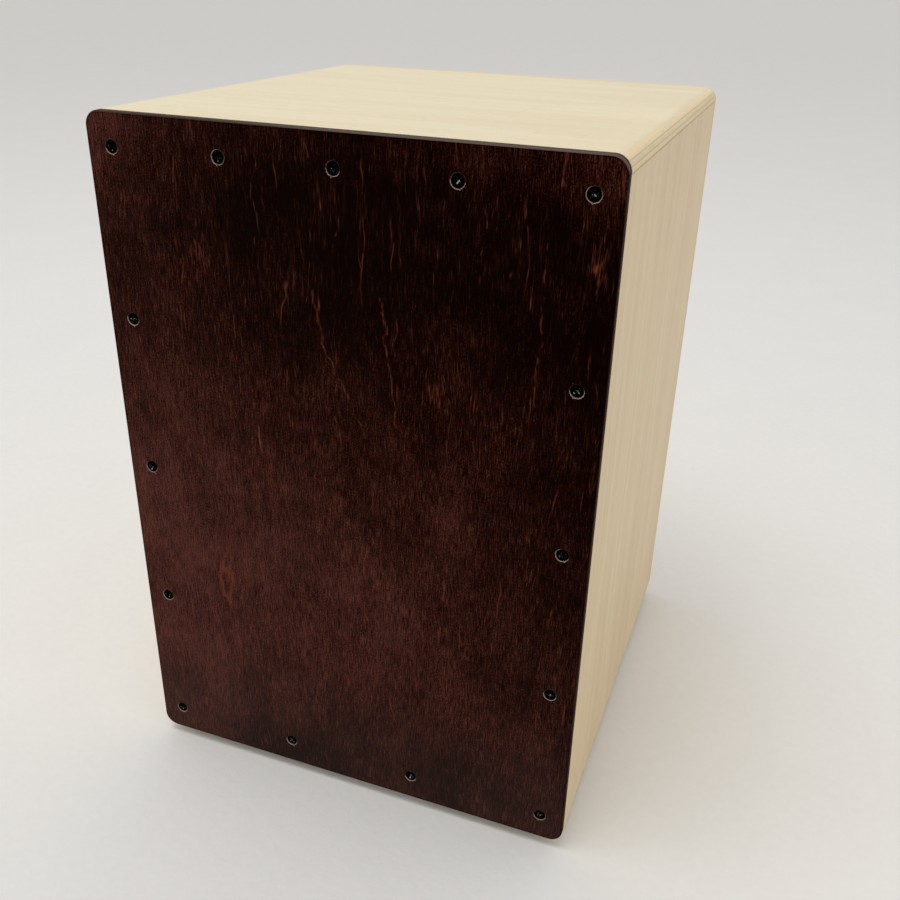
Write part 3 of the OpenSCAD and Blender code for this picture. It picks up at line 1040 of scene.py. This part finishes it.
def drawn_line(shape, places, closed=False):
    """The vertices and the edges of a line from place to place."""
    points = [shape.verts.new(place) for place in places]
    following = points[1:] + points[:1] if closed else points[1:]
    return points + [shape.edges.new(pair) for pair in zip(points, following)]


def spin(shape, items, turns, steps, rise=0.0, merge=False):
    """Turns a line or a ring about the Z axis, with this rise at each step."""
    bmesh.ops.spin(shape, geom=items, cent=(0, 0, 0), axis=(0, 0, 1), dvec=(0, 0, rise), steps=steps,
                   angle=turns * 2 * math.pi, use_merge=merge, use_duplicate=False)


def lathe(shape, outline, steps, closed=False):
    """Turns an outline of (radius, height) points about the Z axis; gives the new vertices."""
    before = set(shape.verts)
    spin(shape, drawn_line(shape, [(radius, 0, height) for radius, height in outline], closed), 1, steps,
         merge=True)
    weld(shape, [vertex for vertex in shape.verts if vertex not in before])
    return [vertex for vertex in shape.verts if vertex not in before]


def stamp(shape, pattern, matrix):
    """Adds a copy of a pattern mesh to a shape, moved by a matrix."""
    before = len(shape.verts)
    shape.from_mesh(pattern)
    shape.verts.ensure_lookup_table()
    bmesh.ops.transform(shape, matrix=matrix, verts=shape.verts[before:])


def keep_mesh(name, shape):
    """Keeps a shape as a mesh."""
    mesh = bpy.data.meshes.new(name)
    shape.to_mesh(mesh)
    shape.free()
    return mesh


def add_object(name, data):
    """Adds an object to the scene."""
    made = bpy.data.objects.new(name, data)
    bpy.context.scene.collection.objects.link(made)
    return made


def finish_piece(node, shape, looks, weighted=True):
    """Makes a shape the piece that stands for a CAD node, with smooth rounds and flat flats."""
    mesh = keep_mesh(node + "_finished", shape)
    mesh.shade_smooth()
    mesh.set_sharp_from_angle(angle=math.radians(50))
    for look in looks:
        mesh.materials.append(look)
    piece = add_object(node + "_finished", mesh)
    if weighted:
        flats = piece.modifiers.new("Flat faces stay flat", "WEIGHTED_NORMAL")
        flats.keep_sharp = True
        flats.weight = 80
    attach(piece, BODY)
    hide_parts(node)
    return piece


# ---------------------------------------------------------------- screws


def head_outline(head, pan):
    """From the rim of the flat top of a screw head down to its neck."""
    if pan:
        top = head * 0.62
        turns = [math.radians(degrees) for degrees in (0, 25, 50, 75)]
        bend = [(top + (head - top) * math.sin(turn), -pan * (1 - math.cos(turn))) for turn in turns]
        return bend + [(head, -pan * 0.98), (head * 0.97, -pan)]
    return [(head - 0.12 * MM, 0), (head - 0.03 * MM, -0.04 * MM), (head, -0.14 * MM), (head, -0.3 * MM)]


def thread(shape, radius, start, end, pitch):
    """A helical ridge wound round a shank from start down to end."""
    steps_a_turn = 12
    turns = (start - end) / pitch
    ridge = 0.28 * pitch
    root = radius * 0.8
    line = drawn_line(shape, [(root, 0, start + ridge), (radius, 0, start), (root, 0, start - ridge)])
    spin(shape, line, turns, round(turns * steps_a_turn), -pitch / steps_a_turn)


def screw_pattern(name, head, shank, length, pan=0.0, tip=3 * MM):
    """One screw with its head's top at the origin and its shank down Z. All sizes are radii or lengths."""
    chosen = settings().screws
    shape = bmesh.new()
    core = shank * 0.8
    neck = -pan if pan else -(head - core) - 0.3 * MM
    point = [(core, -length + tip), (core * 0.45, -length + tip * 0.35), (0, -length)]
    lathe(shape, head_outline(head, pan) + [(core, neck), *point], 36)
    rim = [edge for edge in shape.edges if edge.is_boundary]
    arm = min(chosen.slot_length / 2, head * 0.6)
    half = chosen.slot_width / 2
    quarter = [Vector(corner) for corner in ((arm, -half, 0), (arm, half, 0), (half, half, 0))]
    turns = [Matrix.Rotation(turn * math.pi / 2, 3, "Z") for turn in range(4)]
    corners = [turn @ corner for turn in turns for corner in quarter]
    cross = only(drawn_line(shape, corners, closed=True), BMEdge)
    fill_face(shape, rim, [cross], Z_AXIS, FACE_LOOK)
    taper = (0.52, 0.52, 1)
    bottom = draw_in(shape, cross, taper, (0, 0, -chosen.slot_depth), CROSS_LOOK)
    bmesh.ops.contextual_create(shape, geom=bottom)
    face_outward(shape)
    plain = 0.8 * MM
    thread(shape, shank, neck - plain, -length + tip, chosen.thread_pitch)
    return keep_mesh(name, shape)


def add_screws(node, outward, **sizes):
    """Makes the screws of one CAD node, each turned by its own angle, with their heads looking outward."""
    draw = random.Random(node)
    shape = bmesh.new()
    aim = Z_AXIS.rotation_difference(outward).to_matrix().to_4x4()
    boxes = islands(node)
    size = boxes[0].size
    pattern = screw_pattern(node + "_pattern", head=sorted(size)[1] / 2, length=abs(size.dot(outward)),
                            **sizes)
    for box in boxes:
        top = box.middle + outward * (abs(box.size.dot(outward)) / 2)
        turn = Matrix.Rotation(draw.uniform(0, math.pi / 2), 4, "Z")
        stamp(shape, pattern, Matrix.Translation(top) @ aim @ turn)
    finish_piece(node, shape, screw_materials(), weighted=False)


# ---------------------------------------------------------------- operators


class CAJON_OT_stage(bpy.types.Operator):
    """Lays the pale floor and hangs the soft light."""
    bl_idname = "cajon.stage"
    bl_label = "Stage"

    def execute(self, context):
        chosen = settings().stage
        scene = context.scene
        scene.view_settings.view_transform = "Standard"
        world = bpy.data.worlds.new("even_sky")
        world.use_nodes = True
        sky = world.node_tree.nodes["Background"]
        sky.inputs["Color"].default_value = (1, 1, 1, 1)
        sky.inputs["Strength"].default_value = chosen.sky
        scene.world = world
        key = bpy.data.lights.new("overhead", "AREA")
        key.shape = "SQUARE"
        key.size = chosen.key_size
        key.energy = chosen.key
        lamp = add_object("overhead", key)
        lamp.location = chosen.key_at
        aim = Vector((0, 0, CAD_BOX[1].z)) - Vector(chosen.key_at)
        lamp.rotation_euler = aim.to_track_quat("-Z", "Y").to_euler()
        ground = bmesh.new()
        bmesh.ops.create_grid(ground, x_segments=1, y_segments=1, size=chosen.size / 2)
        floor = add_object("floor", keep_mesh("floor", ground))
        look = speckled_material("pale_floor", chosen.floor, 0.97, 6.0, 0.75, 0.1, 0.0001,
                                 Specular_IOR_Level=0.2)
        floor.data.materials.append(look)
        floor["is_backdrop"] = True
        return {"FINISHED"}


class CAJON_OT_camera(bpy.types.Operator):
    """Sets up the camera at the photograph's viewing angle."""
    bl_idname = "cajon.camera"
    bl_label = "Camera"

    def execute(self, context):
        chosen = settings().camera
        data = bpy.data.cameras.new("camera")
        data.sensor_fit = "AUTO"
        data.sensor_width = chosen.sensor
        data.lens = chosen.lens
        data.shift_x = chosen.shift_x
        data.shift_y = chosen.shift_y
        data.dof.use_dof = False
        data.clip_start = 0.01
        data.clip_end = 100
        camera = add_object("camera", data)
        camera.matrix_world = camera_matrix()
        context.scene.camera = camera
        return {"FINISHED"}


class CAJON_OT_shell(bpy.types.Operator):
    """Makes the top, bottom and side panels of birch plywood."""
    bl_idname = "cajon.shell"
    bl_label = "Box panels"

    def execute(self, context):
        birch = settings().birch
        panels = {
            "top_panel": (X_AXIS, -Z_AXIS, birch.top, 0.0, 1.0),
            "bottom_panel": (X_AXIS, Z_AXIS, birch.top, 0.0, 2.0),
            "left_side_panel": (Z_AXIS, X_AXIS, birch.side, birch.figure, 3.0),
            "right_side_panel": (Z_AXIS, -X_AXIS, birch.side, birch.figure, 4.0),
        }
        for node, (grain, inward, veneer, banding, seed) in panels.items():
            box = box_of(node)
            thick = abs(box.size.dot(inward))
            outer = box.middle - inward * (thick / 2)
            shape = block(box)
            if inward.z:
                front_to_back = [edge for edge in edges_at(shape, 2, outer.z)
                                 if abs(edge.verts[0].co.x - edge.verts[1].co.x) < TOUCHING]
                round_edges(shape, front_to_back, rounding_at(node, outer.z), 14)
            break_edges(shape, birch.edge_break)
            look = plywood_material(node + "_birch", outer, grain, inward, thick, birch.plies, veneer,
                                    banding, seed)
            finish_piece(node, shape, [look])
        return {"FINISHED"}


class CAJON_OT_back_panel(bpy.types.Operator):
    """Makes the back panel with its round sound hole."""
    bl_idname = "cajon.back_panel"
    bl_label = "Back panel"

    def execute(self, context):
        node = "back_panel"
        box = box_of(node)
        middle = front_middle(box)
        edge_break = settings().birch.edge_break
        shape = standing_sheet(box.size, rounding_at(node, box.high.z), edge_break, 2, edge_break)
        margin = Vector((20 * MM, 20 * MM))
        low = box.low.xz + margin
        high = box.high.xz - margin
        hole = box_around([spot for spot in spots(node)
                           if low.x < spot.x < high.x and low.y < spot.z < high.y])
        hub = hole.middle - middle
        hub.y = 0
        lip = 0.6 * MM
        path = self.lip_path(hole.size.x / 2, box.size.y, lip)
        outline = open_face(shape, -Y_AXIS)
        ring = ring_at(shape, hub, path[0][0], 96)
        fill_face(shape, outline, [ring], -Y_AXIS, FACE_LOOK)
        outline = open_face(shape, Y_AXIS)
        for (before, start), (after, end) in zip(path, path[1:]):
            share = after / before
            ring = draw_in(shape, ring, (share, 1, share), (0, end - start, 0), FACE_LOOK, hub)
        fill_face(shape, outline, [ring], Y_AXIS, FACE_LOOK)
        move(shape, middle)
        weld(shape, shape.verts)
        face_outward(shape)
        look = sheet_material(node, 5.0, rough=0.48)
        finish_piece(node, shape, [look])
        return {"FINISHED"}

    def lip_path(self, radius, thick, lip):
        """The hole's wall from face to face with a round lip at each, as radii and depths."""
        turns = [math.radians(30 * step) for step in range(4)]
        curve = [(radius + lip * (1 - math.sin(turn)), lip * (1 - math.cos(turn))) for turn in turns]
        return curve + [(reach, thick - depth) for reach, depth in reversed(curve)]


class CAJON_OT_front_plate(bpy.types.Operator):
    """Makes the stained front plate with its countersunk screw holes."""
    bl_idname = "cajon.front_plate"
    bl_label = "Front plate"

    def execute(self, context):
        node = "front_plate"
        box = box_of(node)
        middle = front_middle(box)
        inset = 0.12 * MM
        back_break = 0.3 * MM
        shape = standing_sheet(box.size - Vector((2 * inset, 0, 2 * inset)), rounding_at(node, box.high.z),
                               settings().stain.rim, 5, back_break)
        paint(shape.faces, RIM_LOOK)
        self.make_holes(shape, node, middle)
        move(shape, middle)
        face_outward(shape)
        rim = rim_material()
        inner = sheet_material(node, 6.0, rough=0.6)
        piece = finish_piece(node, shape, [rim, raw_wood_material(), rim, inner])
        surface = surface_of([piece])
        marks = [(place_on(surface, MARK_POINTS[name]), *size) for name, size in MARK_SIZES.items()]
        bend, centre = (place_on(surface, point) for point in LINE_POINTS.values())
        above_bend = Vector((-0.0048, 0.0, 0.0249))
        below_bend = Vector((0.0192, 0.0, -0.0408))
        reach = Vector((0.0036, 0.0, -0.0295))
        lines = ((bend + above_bend, bend, 1.0), (bend, bend + below_bend, 0.7),
                 (centre - reach, centre + reach, 0.8))
        piece.data.materials[FACE_LOOK] = plate_material(marks, lines)
        return {"FINISHED"}

    def make_holes(self, shape, node, middle):
        """Sinks a torn, slightly off-centre hole for each screw."""
        draw = random.Random(7)
        thick = box_of(node).size.y
        sink, bore = self.hole_radii(node)
        tighter = 0.42 * MM
        sink -= tighter
        lip_share = 0.955
        lip_depth = 0.16 * MM
        neck_share = bore / (sink * lip_share)
        cone_depth = sink - bore
        outline = open_face(shape, -Y_AXIS)
        holes = []
        for screw in islands("front_plate_screws"):
            centre = screw.middle - middle
            centre += Vector((draw.uniform(-0.08, 0.14) * MM, 0, draw.uniform(-0.14, 0.0) * MM))
            centre.y = 0
            ring = ring_at(shape, centre, sink, 72)
            self.tear(ring, centre, sink, draw)
            holes.append((centre, ring))
        fill_face(shape, outline, [ring for _, ring in holes], -Y_AXIS, FACE_LOOK)
        outline = open_face(shape, Y_AXIS)
        ends = []
        for centre, ring in holes:
            for share, depth in ((lip_share, lip_depth), (neck_share, cone_depth),
                                 (1, thick - cone_depth - lip_depth)):
                ring = draw_in(shape, ring, (share, 1, share), (0, depth, 0), RAW_LOOK, centre)
            ends.append(ring)
        fill_face(shape, outline, ends, Y_AXIS, INNER_LOOK)

    def hole_radii(self, node):
        """The radius of a countersink at the face and of its bore at the back, from the CAD plate."""
        box = box_of(node)
        centre = islands("front_plate_screws")[0].middle.xz
        far = 8 * MM
        radii = []
        for depth in (box.low.y, box.high.y):
            near = [(spot.xz - centre).length for spot in spots(node) if abs(spot.y - depth) < FLUSH]
            radii.append(max(away for away in near if away < far))
        return radii

    def tear(self, ring, centre, radius, draw):
        """Makes a hole's edge ragged, with a chip or two drawn out along the grain."""
        torn = settings().screws.torn
        chips = [(side * math.pi / 2 + draw.uniform(-0.6, 0.6), draw.uniform(0.3, 1.0) * reach)
                 for side, reach in ((-1, 9.0), (1, 5.0))]
        bite = draw.uniform(0, 2 * math.pi)
        for vertex in sorted(ends_of(ring), key=lambda vertex: (vertex.co.z, vertex.co.x)):
            out = vertex.co - centre
            angle = math.atan2(out.z, out.x)
            tear = draw.uniform(0, torn) * (1.2 + math.cos(angle - bite))
            for at, long in chips:
                away = abs((angle - at + math.pi) % (2 * math.pi) - math.pi)
                tear += torn * long * max(0.0, 1 - away / 0.13) ** 1.3
            vertex.co = centre + out.normalized() * (radius + tear)


class CAJON_OT_plate_screws(bpy.types.Operator):
    """Puts the black screws in the front plate."""
    bl_idname = "cajon.plate_screws"
    bl_label = "Plate screws"

    def execute(self, context):
        add_screws("front_plate_screws", -Y_AXIS, shank=1.5 * MM, tip=4 * MM)
        return {"FINISHED"}


class CAJON_OT_inner_frame(bpy.types.Operator):
    """Dresses the pine battens, corner strips, cleats and snare bar inside the box."""
    bl_idname = "cajon.inner_frame"
    bl_label = "Inner frame"

    def execute(self, context):
        looks = [pine_material("pine_crossways", X_AXIS, 3.0), pine_material("pine_deep", Y_AXIS, 7.0),
                 pine_material("pine_upright", Z_AXIS, 11.0)]
        kinds = ("batten", "strip", "cleat", "snare_bar")
        for node in sorted(name for name in NODES if name.endswith(kinds)):
            shape = cad_shape(node)
            bmesh.ops.dissolve_limit(shape, angle_limit=math.radians(0.5), verts=shape.verts,
                                     edges=shape.edges)
            break_edges(shape, 0.4 * MM, shortest=3 * MM)
            size = list(box_of(node).size)
            finish_piece(node, shape, [looks[size.index(max(size))]])
        return {"FINISHED"}


class CAJON_OT_snares(bpy.types.Operator):
    """Winds the snare wires and shapes the clips that hold them."""
    bl_idname = "cajon.snares"
    bl_label = "Snares"

    def execute(self, context):
        steel = settings().snares.steel
        wire_look = speckled_material("snare_steel", steel, 0.8, 0.5, 0.22, 0.12, 0.00001, Metallic=1.0)
        clip_look = speckled_material("clip_steel", steel, 0.7, 1.4, 0.3, 0.15, 0.00001, Metallic=1.0)
        for side in ("left", "right"):
            wires = islands(side + "_snare_wires")
            self.wind(side + "_snare_wires", wires, wire_look)
            self.clip(side + "_snare_clip", wires, clip_look)
        return {"FINISHED"}

    def wind(self, node, wires, look):
        """Each wire of the CAD node as a coil of finer wire."""
        chosen = settings().snares
        size = wires[0].size
        wire = chosen.wire / 2
        steps_a_turn = 8
        turns = (size.z - 2 * wire) / chosen.pitch
        coil = bmesh.new()
        ring = ring_at(coil, (size.x / 2 - wire, 0, wire), wire, 5)
        spin(coil, [*ends_of(ring), *ring], turns, round(turns * steps_a_turn), chosen.pitch / steps_a_turn)
        bmesh.ops.holes_fill(coil, edges=[edge for edge in coil.edges if edge.is_boundary], sides=5)
        face_outward(coil)
        pattern = keep_mesh("coil_pattern", coil)
        shape = bmesh.new()
        draw = random.Random(node)
        for box in wires:
            turn = Matrix.Rotation(draw.uniform(0, 2 * math.pi), 4, "Z")
            stamp(shape, pattern, Matrix.Translation((*box.middle.xy, box.low.z)) @ turn)
        finish_piece(node, shape, [look], weighted=False)

    def clip(self, node, wires, look):
        """The folded steel clip, with a drop of solder on the foot of each wire."""
        box = box_of(node)
        shape = block(box)
        deep = [edge for edge in shape.edges if abs(edge.verts[0].co.y - edge.verts[1].co.y) > 0.5 * MM]
        round_edges(shape, deep, 2 * MM, 6)
        break_edges(shape, 0.2 * MM, shortest=0.2 * MM)
        solder = (1.25, 1.0, 1.9)
        below_top = 2.6 * MM
        for wire in wires:
            drop = bmesh.ops.create_uvsphere(shape, u_segments=16, v_segments=8, radius=wire.size.x / 2)
            bmesh.ops.scale(shape, vec=solder, verts=drop["verts"])
            move(shape, (wire.middle.x, box.low.y, box.high.z - below_top), drop["verts"])
        finish_piece(node, shape, [look])


class CAJON_OT_small_screws(bpy.types.Operator):
    """Puts the screws in the snare bar and the snare clips."""
    bl_idname = "cajon.small_screws"
    bl_label = "Small screws"

    def execute(self, context):
        for node, outward in (("snare_bar_screws", Y_AXIS), ("snare_clip_screws", -Y_AXIS)):
            add_screws(node, outward, shank=1.25 * MM, pan=1.2 * MM)
        return {"FINISHED"}


class CAJON_OT_feet(bpy.types.Operator):
    """Turns the rubber feet and their washers and screws."""
    bl_idname = "cajon.feet"
    bl_label = "Feet"

    def execute(self, context):
        rubber_look = speckled_material("foot_rubber", settings().feet.rubber, 0.6, 0.5, 0.62, 0.2, 0.00004,
                                        Specular_IOR_Level=0.3)
        zinc_look = speckled_material("washer_zinc", settings().snares.zinc, 0.7, 1.0, 0.3, 0.2, 0.00001,
                                      Metallic=1.0)
        washers = islands("foot_washers")
        for node in sorted(name for name in NODES if name.endswith("_foot")):
            self.foot(node, washers, rubber_look)
        shape = bmesh.new()
        for box in washers:
            self.washer(shape, box)
        finish_piece("foot_washers", shape, [zinc_look], weighted=False)
        add_screws("foot_screws", -Z_AXIS, shank=1.75 * MM, pan=1.6 * MM)
        return {"FINISHED"}

    def foot(self, node, washers, look):
        """A tapered foot with a round recess for its washer and screw head."""
        low, high, size, centre = box_of(node)
        washer = min(washers, key=lambda box: (box.middle.xy - centre.xy).length)
        top = size.x / 2
        sole = max((spot.xy - centre.xy).length for spot in spots(node) if spot.z < low.z + FLUSH)
        recess = washer.size.x / 2 + 0.1 * MM
        roof = washer.high.z
        bore = 1.85 * MM
        r = settings().feet.rounding
        side = top - sole
        outline = [(bore, roof), (recess, roof), (recess, low.z + r), (recess + 0.3 * r, low.z + 0.3 * r),
                   (recess + r, low.z), (sole - r, low.z), (sole - 0.3 * r, low.z + 0.3 * r),
                   (sole + 0.1 * side, low.z + r), (top - 0.05 * side, high.z - r),
                   (top - 0.3 * r, high.z - 0.3 * r), (top - r, high.z), (bore, high.z)]
        shape = bmesh.new()
        lathe(shape, outline, 64, closed=True)
        face_outward(shape)
        move(shape, (*centre.xy, 0))
        finish_piece(node, shape, [look])

    def washer(self, shape, box):
        """A flat washer with its edges slightly rolled."""
        outer = box.size.x / 2
        bore = 1.9 * MM
        roll = 0.15 * MM
        bottom = [(bore, box.low.z + roll), (bore + roll, box.low.z), (outer - roll, box.low.z),
                  (outer, box.low.z + roll)]
        top = [(outer, box.high.z - roll), (outer - roll, box.high.z), (bore + roll, box.high.z),
               (bore, box.high.z - roll)]
        move(shape, (*box.middle.xy, 0), lathe(shape, bottom + top, 48, closed=True))
        face_outward(shape)


class CAJON_PT_sidebar(bpy.types.Panel):
    """Lists the cajon's operators and settings."""
    bl_idname = "CAJON_PT_sidebar"
    bl_label = "Cajon"
    bl_space_type = "VIEW_3D"
    bl_region_type = "UI"
    bl_category = "Cajon"

    def draw(self, context):
        for operator in OPERATORS:
            self.layout.operator(operator.bl_idname)
        for name in CajonSettings.__annotations__:
            box = self.layout.box()
            box.label(text=name.capitalize())
            group = getattr(context.scene.cajon, name)
            for value in type(group).__annotations__:
                box.prop(group, value)


OPERATORS = (CAJON_OT_stage, CAJON_OT_camera, CAJON_OT_shell, CAJON_OT_back_panel, CAJON_OT_front_plate,
             CAJON_OT_plate_screws, CAJON_OT_inner_frame, CAJON_OT_snares, CAJON_OT_small_screws,
             CAJON_OT_feet)
PROPERTY_GROUPS = (CajonCamera, CajonBirch, CajonStain, CajonScrews, CajonSnares, CajonFeet, CajonStage,
                   CajonSettings)
CLASSES = (*PROPERTY_GROUPS, *OPERATORS, CAJON_PT_sidebar)


def register():
    """Registers the classes and hangs the settings on the scene."""
    for cls in CLASSES:
        bpy.utils.register_class(cls)
    bpy.types.Scene.cajon = PointerProperty(type=CajonSettings)


def unregister():
    """Takes the settings off the scene and unregisters the classes."""
    del bpy.types.Scene.cajon
    for cls in reversed(CLASSES):
        bpy.utils.unregister_class(cls)


def screw_places():
    """Where the middle of each named plate screw's head lies."""
    heads = [front_middle(box) for box in islands("front_plate_screws")]
    low, high, _, middle = box_of("front_plate")
    found = {}
    for name in SCREW_POINTS:
        x = low.x if "left" in name else high.x if "right" in name else middle.x
        z = high.z if "top" in name else low.z if "bottom" in name else middle.z
        found[name] = min(heads, key=lambda head: math.hypot(head.x - x, head.z - z))
    return found


def write_points():
    """Works out how far each thing shows from its image point, in pixels in x and y; nothing is written."""
    surface = surface_of(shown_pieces())
    plate = surface_of([bpy.data.objects["front_plate_finished"]])
    for side, found in edges_shown(surface).items():
        round(found - EDGE_POINTS[side], 2)
    places = dict(screw_places())
    marks = {**MARK_POINTS, **LINE_POINTS}
    places.update({name: place_on(plate, point) for name, point in marks.items()})
    for name, point in {**SCREW_POINTS, **marks}.items():
        found = shown_at(places[name])
        round(found[0] - point[0], 2)
        round(found[1] - point[1], 2)


def main():
    """Builds the whole scene."""
    register()
    for operator in OPERATORS:
        family, action = operator.bl_idname.split(".")
        getattr(getattr(bpy.ops, family), action)()
    write_points()


if __name__ == "__main__":
    main()
